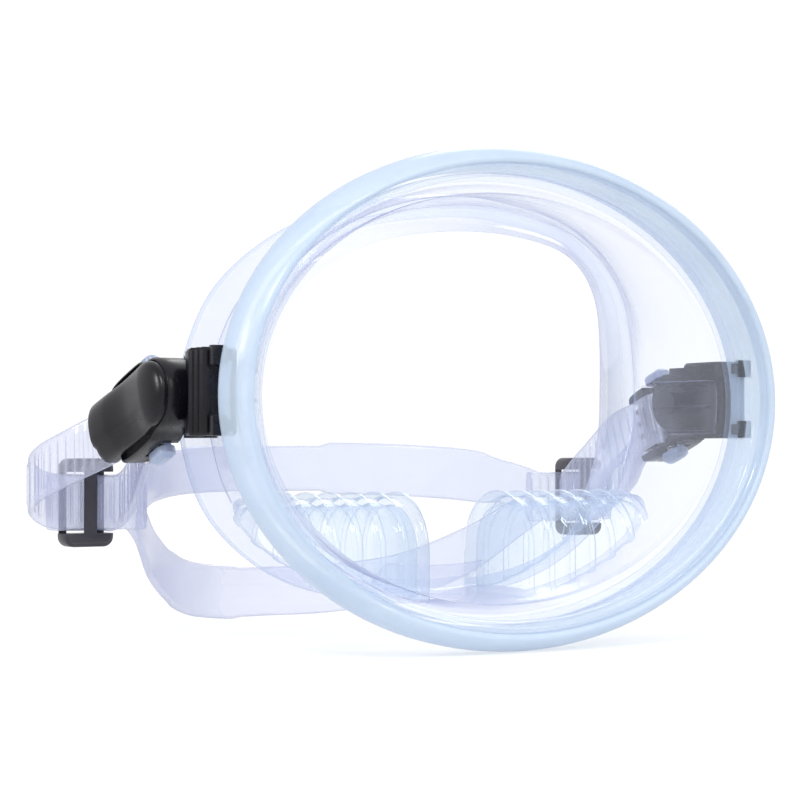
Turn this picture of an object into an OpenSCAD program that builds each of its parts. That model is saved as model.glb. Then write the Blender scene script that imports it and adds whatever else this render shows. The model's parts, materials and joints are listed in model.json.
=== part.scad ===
// Oval single-lens diving mask with ribbed finger pockets and a split head strap.
// The mask stands upright on the bottom of its ring, with the strap resting behind it.
// Origin: on the floor, under the middle of the object. +X is to the right as the lens is
// faced, the lens looks along -Y, and +Z is up. "left" and "right" are as seen from the front.

/* [Ring] */
// Width of the ring outside
ring_w = 158; // [150:1:170]
// Height of the ring outside
ring_h = 121; // [115:1:130]
// Front of the ring's bead, ahead of the lens face
ring_front = 6; // [5:0.5:7]

/* [Lens] */
// Thickness of the tempered glass
lens_t = 4; // [3.5:0.1:4.5]

/* [Skirt] */
// Depth of the skirt behind the lens face at the temples
temple_depth = 45; // [40:1:48]
// Depth of the skirt behind the lens face at the forehead
forehead_depth = 27; // [24:1:32]
// Thickness of the silicone wall
skirt_t = 2; // [1.6:0.1:2.4]

/* [Finger pockets] */
// Width of a pocket from front to back
pocket_w = 27; // [24:1:28]
// Height of the pocket's crown below the lens centre
pocket_top = 24; // [22:1:27]
// Distance from the middle of the mask to a pocket's end wall
pocket_gap = 14; // [12:1:16]
// Distance between the ribs
rib_pitch = 6.4; // [5.5:0.1:7]

/* [Buckles] */
// Distance of the swivel pivot behind the lens face
pivot_back = 30; // [28:1:31]
// Downward slope of the buckles at rest
buckle_slope = 20; // [15:1:24]
// Radius of the pivot pin
pivot_r = 2; // [1.5:0.1:2.5]
// Inward travel of a release button
button_travel = 1.6; // [1:0.1:1.8]

/* [Strap] */
// Width of the ribbed strap ends
tail_w = 14; // [12:0.5:14]
// Width of the two head bands
band_w = 13; // [11:0.5:14]
// Thickness of the strap
strap_t = 1.8; // [1.4:0.1:1.8]

/* [Hidden] */
$fn = 48;

// The lens centre stands ring_h / 2 above the floor, and this far ahead of the middle
lens_y = -59.2;
lens_z = ring_h / 2;
ring_a = ring_w / 2;
ring_b = ring_h / 2;
around = 72;             // stations round the ring and the skirt
pivot_z = 0.5;           // height of the pivot above the lens centre
running = 0.05;          // radial clearance of a turning fit
gap = 0.3;               // clearance between bodies that move past each other

// Places across a buckle, outward from the middle of the mask
plate_in = 70.5;         // inner face of the bracket's pivot plate
plate_out = 74.2;        // outer face of that plate
frame_in = plate_out + gap;
frame_out = 79.6;        // outer face of the buckle frame, where the cover sits
roof_in = 81.4;          // underside of the cover's roof
roof_out = 82.9;         // top of the roof, where the thumb rest rises
roller_x = 77;           // axis of the roller
disc_r = 8.6;            // round end of the buckle
recess_r = 11;           // hollow in the bracket round that end
cheek_in = tail_w / 2 + 0.7;
cheek_out = cheek_in + 2.4;
cheek_wall = 0.7;        // what is left of a cheek under a button
frame_end = 22;          // rear end of the buckle frame from the pivot
cover_end = 25;          // rear end of the cover
roller_at = 13;          // roller behind the pivot
roller_r = 2;
roller_pin_r = 0.8;
pawl_at = 18.5;          // pawl behind the pivot
pawl_pin_r = 0.6;
slot_from = roller_at - roller_r - strap_t - 0.8;
button_at = 10;          // middle of the buttons behind the pivot
button_x = 77;
button_half = 4.2;       // half the length of a button
button_w = 4.6;
button_in = cheek_out + 0.05;
button_out = 13;         // outer face of a button from the buckle's axis
stem_at = 6.9;           // guide stem of a button behind the pivot
stem_r = 1;
stem_end = 6.6;
spring_r = 1.5;          // radius of a spring's coil, at the middle of its wire
spring_wire = 0.17;      // half the thickness of the spring wire
spring_turns = 4;
spring_seat = 11.6;
screw_r = 1.1;
wrap_r = roller_r + 0.2 + strap_t / 2;

// Keeper: a loop of moulded plastic round the two layers of the strap's end
keeper_at = [77, 79.6, -25.5];
keeper_len = 13;
keeper_h = tail_w + 7;
keeper_t = 2 * strap_t + 3.4;
keeper_side = 2.6;       // width of its side bars

function blend(a, b, t) = a + (b - a) * t;
function unit(v) = v / norm(v);

// One point of a smooth curve through the points p, at t from 0 to len(p) - 1
function at(p, i) = p[max(0, min(len(p) - 1, i))];
function smooth_between(a, b, c, d, u) =
    0.5 * (2 * b + (c - a) * u + (2 * a - 5 * b + 4 * c - d) * u * u
    + (3 * b - a - 3 * c + d) * u * u * u);
function along(p, t) =
    let (i = min(floor(t), len(p) - 2), u = t - i)
    smooth_between(at(p, i - 1), at(p, i), at(p, i + 1), at(p, i + 2), u);

// Faces of a tube of n rings of m points, open at no end (closed round, or capped)
function side_faces(n, m, rings) = [
    for (i = [0 : rings - 1]) for (j = [0 : m - 1])
        [i * m + j, i * m + (j + 1) % m,
         ((i + 1) % n) * m + (j + 1) % m, ((i + 1) % n) * m + j]
];

module loop_solid(rings) {
    n = len(rings);
    m = len(rings[0]);
    polyhedron([for (r = rings) each r], side_faces(n, m, n), convexity = 8);
}

module tube_solid(rings) {
    n = len(rings);
    m = len(rings[0]);
    start = [for (j = [m - 1 : -1 : 0]) j];
    end = [for (j = [0 : m - 1]) (n - 1) * m + j];
    polyhedron([for (r = rings) each r], concat([start], side_faces(n, m, n - 1), [end]),
        convexity = 8);
}

// A ring of points at one angle, from a list of [half width, half height, depth]
function oval_ring(angle, profile) =
    [for (p = profile) [p[0] * cos(angle), p[2], p[1] * sin(angle)]];

// Profile points given inward from the ring's outer edge, as [inward, depth]
function inward(profile) = [for (p = profile) [ring_a - p[0], ring_b - p[0], p[1]]];

module oval_body(profile) {
    loop_solid([for (i = [0 : around - 1]) oval_ring(i * 360 / around, profile)]);
}

function oval_outline(a, b) =
    [for (i = [0 : around - 1]) [a * cos(i * 360 / around), b * sin(i * 360 / around)]];

// An oval plate that stands upright, from one depth to another
module oval_plate(a, b, from, to) {
    translate([0, to, 0]) rotate([90, 0, 0]) linear_extrude(to - from)
        polygon(oval_outline(a, b));
}

module place_mask() {
    translate([0, lens_y, lens_z]) children();
}

module on_side(s) {
    place_mask() if (s < 0) mirror([1, 0, 0]) children(); else children();
}

// Buckle axes: x outward, y along the buckle from the pivot, z across it
module on_buckle(s) {
    on_side(s) translate([0, pivot_back, pivot_z]) rotate([-buckle_slope, 0, 0]) children();
}

// ---- Mask body ----

lens_inset = 6.1;
module lens() {
    color("lightcyan", 0.3) place_mask()
        oval_plate(ring_a - lens_inset, ring_b - lens_inset, 0, lens_t);
}

bead_back = lens_t + 3;  // rear face of the skirt's clamped bead
module lens_ring() {
    color("lightblue", 0.8) place_mask() oval_body(inward([
        [0, 1.2], [0.15, -0.8], [0.8, -2.8], [2, -4.7], [3.2, -ring_front], [4, -ring_front],
        [4.5, -ring_front + 0.8], [4.5, -0.1], [lens_inset - 0.1, -0.1],
        [lens_inset - 0.1, bead_back], [7.8, bead_back], [7.8, bead_back + 1],
        [6.6, bead_back + 1.4], [3.6, bead_back + 1.4], [2.2, 7.2], [0.9, 5.2], [0.2, 3.2]
    ]));
}

module retaining_ring() {
    color("aliceblue", 0.8) place_mask() oval_body(inward([
        [4.6, -0.1], [4.6, -4.4], [5.1, -5], [6.2, -4.6], [7.1, -3.4], [7.4, -1.8], [7.4, -0.1]
    ]));
}

// Depth of the skirt's rear edge: deep at the temples, shallow at the forehead
function rear_depth(angle) =
    let (up = max(0, sin(angle)), down = max(0, -sin(angle)))
    temple_depth - (temple_depth - forehead_depth) * pow(up, 1.6) + 2 * pow(down, 2);

seal_depth = 6;          // depth of the flared rim at the rear of the skirt

// Section of the skirt's wall at one angle, with its clamped bead at the front
function wall_ring(angle) =
    let (r = rear_depth(angle), t = skirt_t)
    oval_ring(angle, [
        [ring_a - lens_inset, ring_b - lens_inset, lens_t + 0.05],
        [ring_a - lens_inset, ring_b - lens_inset, bead_back - 0.05],
        [ring_a - 8.3, ring_b - 8.3, bead_back - 0.05],
        [ring_a - 9.5, ring_b - 8.8, bead_back + 3],
        [66.6, 50.4, r * 0.55],
        [67, 50.4, r - seal_depth],
        [67 - t, 50.4 - t, r - seal_depth],
        [66.6 - t, 50.4 - t, r * 0.55],
        [ring_a - 9.5 - t, ring_b - 8.8 - t, bead_back + 2.5],
        [ring_a - 9.5 - t, ring_b - 8.8 - t, lens_t + 0.05]
    ]);

// Section of the face seal: the flared rim and the lip that turns in to the face
function seal_ring(angle) =
    let (r = rear_depth(angle), t = skirt_t)
    oval_ring(angle, [
        [67, 50.4, r - seal_depth],
        [69.4, 51.6, r - 1],
        [69, 51.2, r],
        [65, 49.2, r - 0.6],
        [59, 46, r - 3.5],
        [51.5, 42.2, r - 9],
        [51, 41.6, r - 10],
        [58.6, 45.2, r - 5.4],
        [67 - t, 50.4 - t, r - seal_depth]
    ]);

pocket_mid = 31;         // middle of a pocket behind the lens face
pocket_end = 60;         // outer end, where it runs into the side wall
pocket_r = pocket_w / 2;

// Arch section along X, grown by g; open below
module pocket_arch(from, to, g) {
    translate([from, pocket_mid, 0]) rotate([90, 0, 90]) linear_extrude(to - from) {
        translate([0, -pocket_top - pocket_r]) circle(r = pocket_r + g);
        translate([-pocket_r - g, -80]) square([2 * (pocket_r + g), 80 - pocket_top - pocket_r]);
    }
}

// A closed oval band of silicone, open where the finger pockets join it
module skirt_part(rings) {
    color("lavender", 0.5) place_mask() difference() {
        loop_solid(rings);
        pocket_arch(pocket_gap, pocket_end, 0);
        mirror([1, 0, 0]) pocket_arch(pocket_gap, pocket_end, 0);
    }
}
module skirt() { skirt_part([for (i = [0 : around - 1]) wall_ring(i * 360 / around)]); }
module face_seal() { skirt_part([for (i = [0 : around - 1]) seal_ring(i * 360 / around)]); }

rib_t = 2.2;
rib_count = floor((pocket_end - pocket_gap) / rib_pitch);
module finger_pocket(s) {
    color("azure", 0.6) on_side(s) intersection() {
        difference() {
            union() {
                pocket_arch(pocket_gap, pocket_end, 0);
                for (k = [0 : rib_count]) pocket_arch(pocket_gap + k * rib_pitch - (k > 0 ? 0.4 : 0),
                    min(pocket_gap + k * rib_pitch + rib_t, pocket_end), 1.1);
            }
            pocket_arch(pocket_gap + skirt_t, pocket_end + 10, -skirt_t);
        }
        oval_plate(66.6, 50.4, bead_back + 3, temple_depth + 4);
    }
}
module finger_pocket_left() { finger_pocket(-1); }
module finger_pocket_right() { finger_pocket(1); }

// ---- Bracket and swivel ----

module bracket(s) {
    color("dimgray") on_side(s) {
        difference() {
            union() {
                // pivot plate with its round end
                translate([plate_in, 13, -9.6]) cube([plate_out - plate_in, pivot_back - 13, 19.2]);
                translate([plate_in, pivot_back, pivot_z]) rotate([0, 90, 0])
                    cylinder(r = 7.4, h = plate_out - plate_in);
                // fluted block behind the ring
                translate([plate_in, 11.4, -10.4]) cube([8.4, 12.4, 20.8]);
                for (y = [12.6, 15.2, 17.8]) translate([plate_in + 8.4, y, -10.4])
                    cylinder(r = 0.9, h = 20.8);
                // two tongues that hook into the ring
                for (z = [-9.8, 5.4]) translate([72.6, 7.4, z]) cube([3.4, 4.6, 4.4]);
            }
            // hollow for the round end of the buckle
            translate([plate_out, pivot_back, pivot_z]) rotate([0, 90, 0])
                cylinder(r = recess_r, h = 12);
            translate([plate_in - 5, pivot_back, pivot_z]) rotate([0, 90, 0])
                cylinder(r = pivot_r, h = 20);
        }
    }
}
module bracket_left() { bracket(-1); }
module bracket_right() { bracket(1); }

pin_head_in = plate_in - 1;
module pivot_pin(s) {
    color("silver") on_buckle(s) rotate([0, 90, 0]) {
        translate([0, 0, pin_head_in]) cylinder(r = 3.2, h = 1);
        translate([0, 0, plate_in]) cylinder(r = pivot_r, h = frame_out - plate_in - 0.4);
    }
}
module pivot_pin_left() { pivot_pin(-1); }
module pivot_pin_right() { pivot_pin(1); }

// ---- Buckle ----

// Outline of the buckle seen from outside: a round end, widening to the two cheeks
module buckle_outline(end, half) {
    circle(r = disc_r);
    translate([0, -disc_r]) square([4, 2 * disc_r]);
    translate([3, -half]) square([end - 3, 2 * half]);
}

// Extrudes an outline drawn along the buckle (x) and across it (y), outward from one face
module from_face(x0, x1) {
    translate([x0, 0, 0]) rotate([90, 0, 90]) linear_extrude(x1 - x0) children();
}

module buckle_frame(s) {
    color("darkslategray") on_buckle(s) difference() {
        from_face(frame_in, frame_out) buckle_outline(frame_end, cheek_out);
        translate([frame_in - 1, slot_from, -cheek_in]) cube([10, 40, 2 * cheek_in]);
        translate([frame_in - 1, 0, 0]) rotate([0, 90, 0])
            cylinder(r = pivot_r + running, h = 12);
        translate([roller_x, roller_at, -20]) cylinder(r = roller_pin_r, h = 40);
        translate([roller_x, pawl_at, -20]) cylinder(r = pawl_pin_r, h = 40);
        for (side = [0, 1]) mirror([0, 0, side]) {
            translate([button_x, stem_at, 4.5]) cylinder(r = stem_r + running, h = 10);
            translate([frame_in - 1, button_at - button_half - 0.3, cheek_in + cheek_wall])
                cube([8, 2 * button_half + 0.6, 5]);
        }
    }
}
module buckle_frame_left() { buckle_frame(-1); }
module buckle_frame_right() { buckle_frame(1); }

thumb_half = 7.2;
// Cover: side rails, a roof and the raised thumb rest, with a truncated rear end
module buckle_cover(s) {
    color("black") on_buckle(s) difference() {
        union() {
            from_face(frame_out, roof_out) buckle_outline(frame_end, cheek_out);
            from_face(roof_in, roof_out) translate([0, -thumb_half])
                square([cover_end, 2 * thumb_half]);
            hull() {
                translate([roof_out - 0.2, 0, 0]) rotate([0, 90, 0])
                    cylinder(r = thumb_half, h = 0.4, $fn = 32);
                translate([84.6, 0, 0]) rotate([0, 90, 0])
                    cylinder(r = thumb_half - 1.6, h = 0.6, $fn = 32);
                translate([roof_out - 0.2, cover_end - 1, -thumb_half])
                    cube([0.4, 1, 2 * thumb_half]);
                translate([86, cover_end - 3, -thumb_half + 1.5])
                    cube([0.4, 1.4, 2 * thumb_half - 3]);
            }
        }
        translate([frame_out - 1, slot_from, -cheek_in])
            cube([roof_in - frame_out + 1, 40, 2 * cheek_in]);
        translate([frame_out - 1, 0, 0]) rotate([0, 90, 0]) cylinder(r = screw_r, h = 3);
    }
}
module buckle_cover_left() { buckle_cover(-1); }
module buckle_cover_right() { buckle_cover(1); }

// Screw that holds the pin and the cover together, sunk under the thumb rest
module cover_screw(s) {
    color("gray") on_buckle(s) rotate([0, 90, 0])
        translate([0, 0, frame_out - 0.35]) cylinder(r = screw_r, h = 2);
}
module cover_screw_left() { cover_screw(-1); }
module cover_screw_right() { cover_screw(1); }

module strap_roller(s) {
    color("silver") on_buckle(s) translate([roller_x, roller_at, -tail_w / 2]) difference() {
        cylinder(r = roller_r, h = tail_w);
        translate([0, 0, -1]) cylinder(r = roller_pin_r + running, h = tail_w + 2);
    }
}
module strap_roller_left() { strap_roller(-1); }
module strap_roller_right() { strap_roller(1); }

pin_half = cheek_in + cheek_wall - 0.1;
module roller_pin(s) {
    color("silver") on_buckle(s) translate([roller_x, roller_at, -pin_half])
        cylinder(r = roller_pin_r, h = 2 * pin_half);
}
module roller_pin_left() { roller_pin(-1); }
module roller_pin_right() { roller_pin(1); }

// Pawl: a hub with a row of teeth that grip the ribs of the strap's outer layer
module pawl(s) {
    color("dimgray") on_buckle(s) translate([roller_x, pawl_at, 0]) difference() {
        union() {
            translate([0, 0, -tail_w / 2 + 0.5]) cylinder(r = 1.3, h = tail_w - 1);
            for (z = [-5.4, -1.8, 1.8, 5.4]) translate([-0.5, 0.6, z - 0.6])
                cube([2.4, 3, 1.2]);
        }
        translate([0, 0, -10]) cylinder(r = pawl_pin_r + running, h = 20);
    }
}
module pawl_left() { pawl(-1); }
module pawl_right() { pawl(1); }

module pawl_pin(s) {
    color("silver") on_buckle(s) translate([roller_x, pawl_at, -cheek_out])
        cylinder(r = pawl_pin_r, h = 2 * cheek_out);
}
module pawl_pin_left() { pawl_pin(-1); }
module pawl_pin_right() { pawl_pin(1); }

// Oval outline of a button, along x, with round ends
module button_outline(g) {
    r = button_w / 2 - g;
    run = button_half - button_w / 2;
    translate([-r, -run]) square([2 * r, 2 * run]);
    for (y = [-run, run]) translate([0, y]) circle(r = r);
}

// Button on the upper (side 1) or lower (side -1) cheek, with its stem in the cheek
module button(s, side) {
    color("lightsteelblue") on_buckle(s) mirror([0, 0, side < 0 ? 1 : 0]) difference() {
        union() {
            translate([button_x, button_at, button_in])
                linear_extrude(button_out - 0.7 - button_in) button_outline(0);
            translate([button_x, button_at, button_out - 0.7])
                linear_extrude(0.7) button_outline(0.6);
            translate([button_x, stem_at, stem_end])
                cylinder(r = stem_r, h = button_in - stem_end + 0.5);
        }
        translate([button_x, button_at + 0.4, button_in - 1])
            cylinder(r = spring_r + 0.35, h = spring_seat - button_in + 1);
    }
}
module upper_button_left() { button(-1, 1); }
module lower_button_left() { button(-1, -1); }
module upper_button_right() { button(1, 1); }
module lower_button_right() { button(1, -1); }

// Coil spring that pushes a button out
module button_spring(s, side) {
    from = cheek_in + cheek_wall + spring_wire + 0.02;
    rise = spring_seat - spring_wire - 0.02 - from;
    steps = spring_turns * 12;
    function coil_ring(i) =
        let (a = i * 30, mid = [spring_r * cos(a), spring_r * sin(a), from + rise * i / steps])
        [for (k = [0 : 5]) mid + spring_wire
            * [cos(a) * cos(k * 60), sin(a) * cos(k * 60), sin(k * 60)]];
    color("silver") on_buckle(s) mirror([0, 0, side < 0 ? 1 : 0])
        translate([button_x, button_at + 0.4, 0])
            tube_solid([for (i = [0 : steps]) coil_ring(i)]);
}
module upper_spring_left() { button_spring(-1, 1); }
module lower_spring_left() { button_spring(-1, -1); }
module upper_spring_right() { button_spring(1, 1); }
module lower_spring_right() { button_spring(1, -1); }

// ---- Keepers and strap ----

module rounded_block(size, r) {
    rotate([90, 0, 0]) translate([0, 0, -size[1] / 2]) linear_extrude(size[1]) {
        square([size[0] - 2 * r, size[2]], center = true);
        square([size[0], size[2] - 2 * r], center = true);
        for (x = [-1, 1]) for (z = [-1, 1])
            translate([x * (size[0] / 2 - r), z * (size[2] / 2 - r)]) circle(r = r);
    }
}

// Keeper: a middle bar in front of the strap and two side bars behind it
module keeper(s) {
    slot_t = 2 * strap_t + 0.9;
    slot_h = tail_w + 1.4;
    color("dimgray") on_side(s) translate(keeper_at) difference() {
        rounded_block([keeper_len, keeper_t, keeper_h], 2.4);
        cube([keeper_len + 2, slot_t, slot_h], center = true);
        for (x = [-1, 1]) translate([x * (keeper_len / 2 + 1.6), -keeper_t / 2, 0])
            cube([keeper_len, keeper_t, slot_h], center = true);
        translate([0, keeper_t / 2, 0])
            cube([keeper_len - 2 * keeper_side, keeper_t, slot_h], center = true);
    }
}
module keeper_left() { keeper(-1); }
module keeper_right() { keeper(1); }

// Where the strap runs, outward, back and up from the lens centre, then its width.
// The bands run from the right keeper to the middle of the back.
upper_band = [
    [66, 80.5, -24.5, 10], [60, 84, -22.5, 12], [50, 96, -19.5, band_w],
    [35, 110, -18, band_w], [17, 120, -17.5, band_w], [0, 123, -17.5, band_w]
];
lower_band = [
    [66, 80.5, -26.5, 10], [60, 84.5, -31, 12], [50, 96.5, -41, band_w + 1],
    [35, 110.5, -49.5, band_w + 1], [17, 120.5, -52.8, band_w + 1], [0, 123.5, -53.3, band_w + 1]
];
// From the junction of the bands through the keeper and round the loop to the buckle
strap_loop = [
    [60, 80.6, -25.5], [66, 80.6, -25.5], [72, 80.6, -25.5], [84, 80.6, -25.2],
    [88.6, 81.8, -23.8], [91.4, 80, -21], [91.2, 75, -18], [88, 67, -14.5], [83.5, 60, -11]
];
// From the buckle's roller back to the keeper
strap_tail = [
    [72.4, 54, -8.5], [70.8, 61, -13.5], [69, 68, -19.4], [69, 74, -24],
    [70.4, 77.6, -25.7], [74, 78.6, -25.6], [84, 78.6, -25.5], [87.6, 78.8, -25.2]
];

function buckle_point(x, a) =
    [x, pivot_back + a * cos(buckle_slope), pivot_z - a * sin(buckle_slope)];
tail_route = concat(
    strap_loop,
    [for (a = [cover_end, 19, roller_at]) buckle_point(roller_x + wrap_r, a)],
    [for (t = [30 : 30 : 150])
        buckle_point(roller_x + wrap_r * cos(t), roller_at - wrap_r * sin(t))],
    [for (a = [roller_at, 19]) buckle_point(roller_x - wrap_r, a)],
    strap_tail
);

// Section of the strap: its width stands upright, leaning with the buckle near it
function strap_ring(c, ahead, behind, w) =
    let (lean = buckle_slope * max(0, min(1, (66 - c[1]) / 12)),
         across = [0, sin(lean), cos(lean)],
         out = unit(cross(ahead - behind, across)))
    [for (k = [[-1, -1], [1, -1], [1, 1], [-1, 1]])
        [c[0], c[1], c[2]] + k[0] * out * strap_t / 2 + k[1] * across * w / 2];

function xyz(v) = [v[0], v[1], v[2]];
function strap_rings(route, per, width) =
    let (n = (len(route) - 1) * per)
    [for (i = [0 : n])
        let (t = i / per, c = along(route, t),
             ahead = xyz(along(route, min(t + 0.05, len(route) - 1))),
             behind = xyz(along(route, max(t - 0.05, 0))))
        strap_ring(c, ahead, behind, width > 0 ? width : c[3])];

function both_sides(half) = concat(
    half, [for (i = [len(half) - 2 : -1 : 0]) let (p = half[i]) [-p[0], p[1], p[2], p[3]]]);

module head_strap() {
    color("lavender", 0.7) {
        for (band = [upper_band, lower_band]) place_mask()
            tube_solid(strap_rings(both_sides(band), 4, 0));
        for (s = [-1, 1]) on_side(s) tube_solid(strap_rings(tail_route, 3, tail_w));
    }
}

lens();
lens_ring();
retaining_ring();
skirt();
face_seal();
finger_pocket_left();
finger_pocket_right();
head_strap();
bracket_left();
pivot_pin_left();
buckle_frame_left();
buckle_cover_left();
cover_screw_left();
strap_roller_left();
roller_pin_left();
pawl_left();
pawl_pin_left();
upper_button_left();
lower_button_left();
upper_spring_left();
lower_spring_left();
keeper_left();
bracket_right();
pivot_pin_right();
buckle_frame_right();
buckle_cover_right();
cover_screw_right();
strap_roller_right();
roller_pin_right();
pawl_right();
pawl_pin_right();
upper_button_right();
lower_button_right();
upper_spring_right();
lower_spring_right();
keeper_right();
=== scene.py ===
"""Looks of an oval single-lens diving mask, built round its CAD frame.

Shapes are worked out in millimetres from the middle of the lens: x to the right as the lens is
faced, y back from the glass and z up. The buckles have their own axes: x outward, a along the
buckle from its pivot and n across it. "left" and "right" are as seen from the front.
"""

import json
import math

import bmesh
import bpy
import numpy as np
from bpy.props import FloatProperty, FloatVectorProperty, IntProperty, PointerProperty
from mathutils import Matrix, Vector


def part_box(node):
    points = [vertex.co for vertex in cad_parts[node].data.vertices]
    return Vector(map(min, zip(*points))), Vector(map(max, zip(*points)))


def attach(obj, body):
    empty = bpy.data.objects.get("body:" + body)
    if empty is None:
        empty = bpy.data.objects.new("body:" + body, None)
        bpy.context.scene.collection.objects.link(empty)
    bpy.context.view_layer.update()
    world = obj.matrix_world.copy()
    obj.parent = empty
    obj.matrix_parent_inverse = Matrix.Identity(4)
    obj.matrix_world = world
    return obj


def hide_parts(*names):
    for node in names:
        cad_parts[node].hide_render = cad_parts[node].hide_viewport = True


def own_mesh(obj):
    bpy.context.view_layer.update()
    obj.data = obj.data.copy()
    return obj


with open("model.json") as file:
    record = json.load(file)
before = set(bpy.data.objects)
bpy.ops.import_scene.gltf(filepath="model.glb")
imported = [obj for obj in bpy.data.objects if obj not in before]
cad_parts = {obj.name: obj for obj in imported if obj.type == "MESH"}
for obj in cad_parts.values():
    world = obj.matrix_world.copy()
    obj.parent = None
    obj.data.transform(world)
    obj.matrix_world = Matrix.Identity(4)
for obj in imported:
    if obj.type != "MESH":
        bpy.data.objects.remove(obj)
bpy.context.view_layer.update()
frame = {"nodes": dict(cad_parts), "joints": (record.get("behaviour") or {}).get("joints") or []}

bl_info = {
    "name": "Diving mask",
    "version": (1, 0, 0),
    "blender": (4, 5, 0),
    "location": "3D View > Sidebar > Mask",
    "description": "Builds the pieces of an oval diving mask round its CAD frame",
    "category": "Object",
}

MM = 0.001
SIDES = {"left": -1, "right": 1}

# ---- Places taken from the frame ----

lens_low, lens_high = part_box("lens")
ring_low, ring_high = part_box("lens_ring")
LENS = np.array([0.0, lens_low.y, (ring_low.z + ring_high.z) / 2])
RING_A = (ring_high.x - ring_low.x) / 2 / MM
RING_B = (ring_high.z - ring_low.z) / 2 / MM
LENS_T = (lens_high.y - lens_low.y) / MM
joints = {joint["name"]: joint for joint in frame["joints"]}
PIVOT = (np.array(joints["right_swivel"]["pos_m"]) - LENS) / MM
SLOPE = math.atan2(joints["right_roller_turn"]["axis"][1], joints["right_roller_turn"]["axis"][2])

# ---- Places shared with the CAD source, in millimetres ----

DISC_R = 8.6            # round end of a buckle
CHEEK_IN = 7.7          # inner face of a cheek from the buckle's axis
CHEEK_OUT = 10.1
FRAME_IN, FRAME_OUT = 74.5, 79.6
FRAME_END, COVER_END = 22.0, 25.0
ROOF_IN, ROOF_OUT = 81.4, 82.9
THUMB_HALF = 7.7        # half the width of the thumb rest
THUMB_FRONT, THUMB_END = -8.0, 26.2
SLOT_FROM = 8.4         # front end of the strap's slot in a buckle
PLATE_IN, PLATE_OUT = 70.5, 74.2
RECESS_R = 11.0         # hollow in a bracket round the buckle's end
BUTTON_X, BUTTON_AT = 77.0, 10.0
BUTTON_HALF, BUTTON_W = 4.2, 4.6
BUTTON_IN, BUTTON_OUT = 10.15, 13.0
STEM_AT, STEM_END, STEM_R = 6.9, 6.6, 1.0
SPRING_SEAT = 11.6
SPRING_AT = BUTTON_AT + 0.4     # middle of a spring and of its seat, along the buckle
ROLLER_X, ROLLER_AT, WRAP_R = 77.0, 13.0, 3.1
KEEPER_AT = np.array([77.0, 79.6, -25.5])
KEEPER_LEN, KEEPER_T, KEEPER_H = 13.2, 7.4, 22.2
TAIL_W, BAND_W, STRAP_T = 14.0, 13.0, 1.8
POCKET_GAP, POCKET_END = 14.0, 60.0
POCKET_MID, POCKET_TOP, POCKET_R = 31.0, -24.0, 13.5
RIB_PITCH = 6.4

# Where the strap runs, outward, back and up from the lens centre, then its width
UPPER_BAND = [
    (66, 80.5, -24.5, 10), (60, 84, -22.5, 12), (50, 96, -19.5, BAND_W),
    (35, 110, -18, BAND_W), (17, 120, -17.5, BAND_W), (0, 123, -17.5, BAND_W),
]
LOWER_BAND = [
    (66, 80.5, -26.5, 10), (60, 84.5, -31, 12), (50, 96.5, -41, BAND_W + 1),
    (35, 110.5, -49.2, BAND_W + 1), (17, 120.5, -52.2, BAND_W + 1), (0, 123.5, -52.6, BAND_W + 1),
]
STRAP_LOOP = [
    (60, 80.6, -25.5), (66, 80.6, -25.5), (72, 80.6, -25.5), (84, 80.6, -25.2),
    (88.6, 81.8, -23.8), (91.4, 80, -21), (91.2, 75, -18), (88, 67, -14.5), (83.5, 60, -11),
]
STRAP_TAIL = [
    (72.4, 54, -8.5), (70.8, 61, -13.5), (69, 68, -19.4), (69, 74, -24),
    (70.4, 77.6, -25.7), (74, 78.6, -25.6), (84, 78.6, -25.5), (87.6, 78.8, -25.2),
]


# ---- Settings ----

def colour(name, description, default):
    """A colour property of the settings."""
    return FloatVectorProperty(name=name, description=description, subtype="COLOR", size=3,
                               min=0, max=1, default=default)


class MaskSizes(bpy.types.PropertyGroup):
    stations: IntProperty(
        name="Stations", description="Sections round the ring and the skirt", default=480, min=96)
    skirt_wall: FloatProperty(
        name="Skirt wall", description="Thickness of the silicone, in millimetres",
        default=2.0, min=1.6, max=2.4)
    pad_rise: FloatProperty(
        name="Temple pad", description="How far the pads behind the brackets stand out, in mm",
        default=1.6, min=0, max=2)
    pocket_rib: FloatProperty(
        name="Pocket rib", description="Height of a rib on the finger pockets, in millimetres",
        default=1.5, min=0.4, max=1.8)
    strap_rib: FloatProperty(
        name="Strap rib", description="Height of a rib on the strap's ends, in millimetres",
        default=0.6, min=0.1, max=0.8)
    strap_pitch: FloatProperty(
        name="Strap rib pitch", description="Distance between the strap's ribs, in millimetres",
        default=2.8, min=2, max=5)
    edge: FloatProperty(
        name="Moulded edge", description="Radius of the edges of the plastic parts, in mm",
        default=0.3, min=0.1, max=0.6)


class MaskColours(bpy.types.PropertyGroup):
    ring: colour("Ring", "Body of the translucent ring", (0.60, 0.71, 0.84))
    silicone: colour("Silicone", "Tint of the clear skirt", (0.78, 0.81, 0.96))
    pocket: colour("Pockets", "Tint of the finger pockets", (0.70, 0.80, 0.94))
    strap: colour("Strap", "Tint of the strap", (0.68, 0.70, 0.84))
    buckle: colour("Buckle", "Black moulded plastic", (0.0070, 0.0066, 0.0105))
    keeper: colour("Keeper", "Dark grey moulded plastic", (0.034, 0.030, 0.040))
    button: colour("Button", "Blue-grey moulded plastic", (0.28, 0.34, 0.48))
    backdrop: colour("Backdrop", "Pale studio floor", (0.93, 0.935, 0.94))


def sizes():
    return bpy.context.scene.mask_sizes


def colours():
    return bpy.context.scene.mask_colours


# ---- Curves and outlines ----

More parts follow.
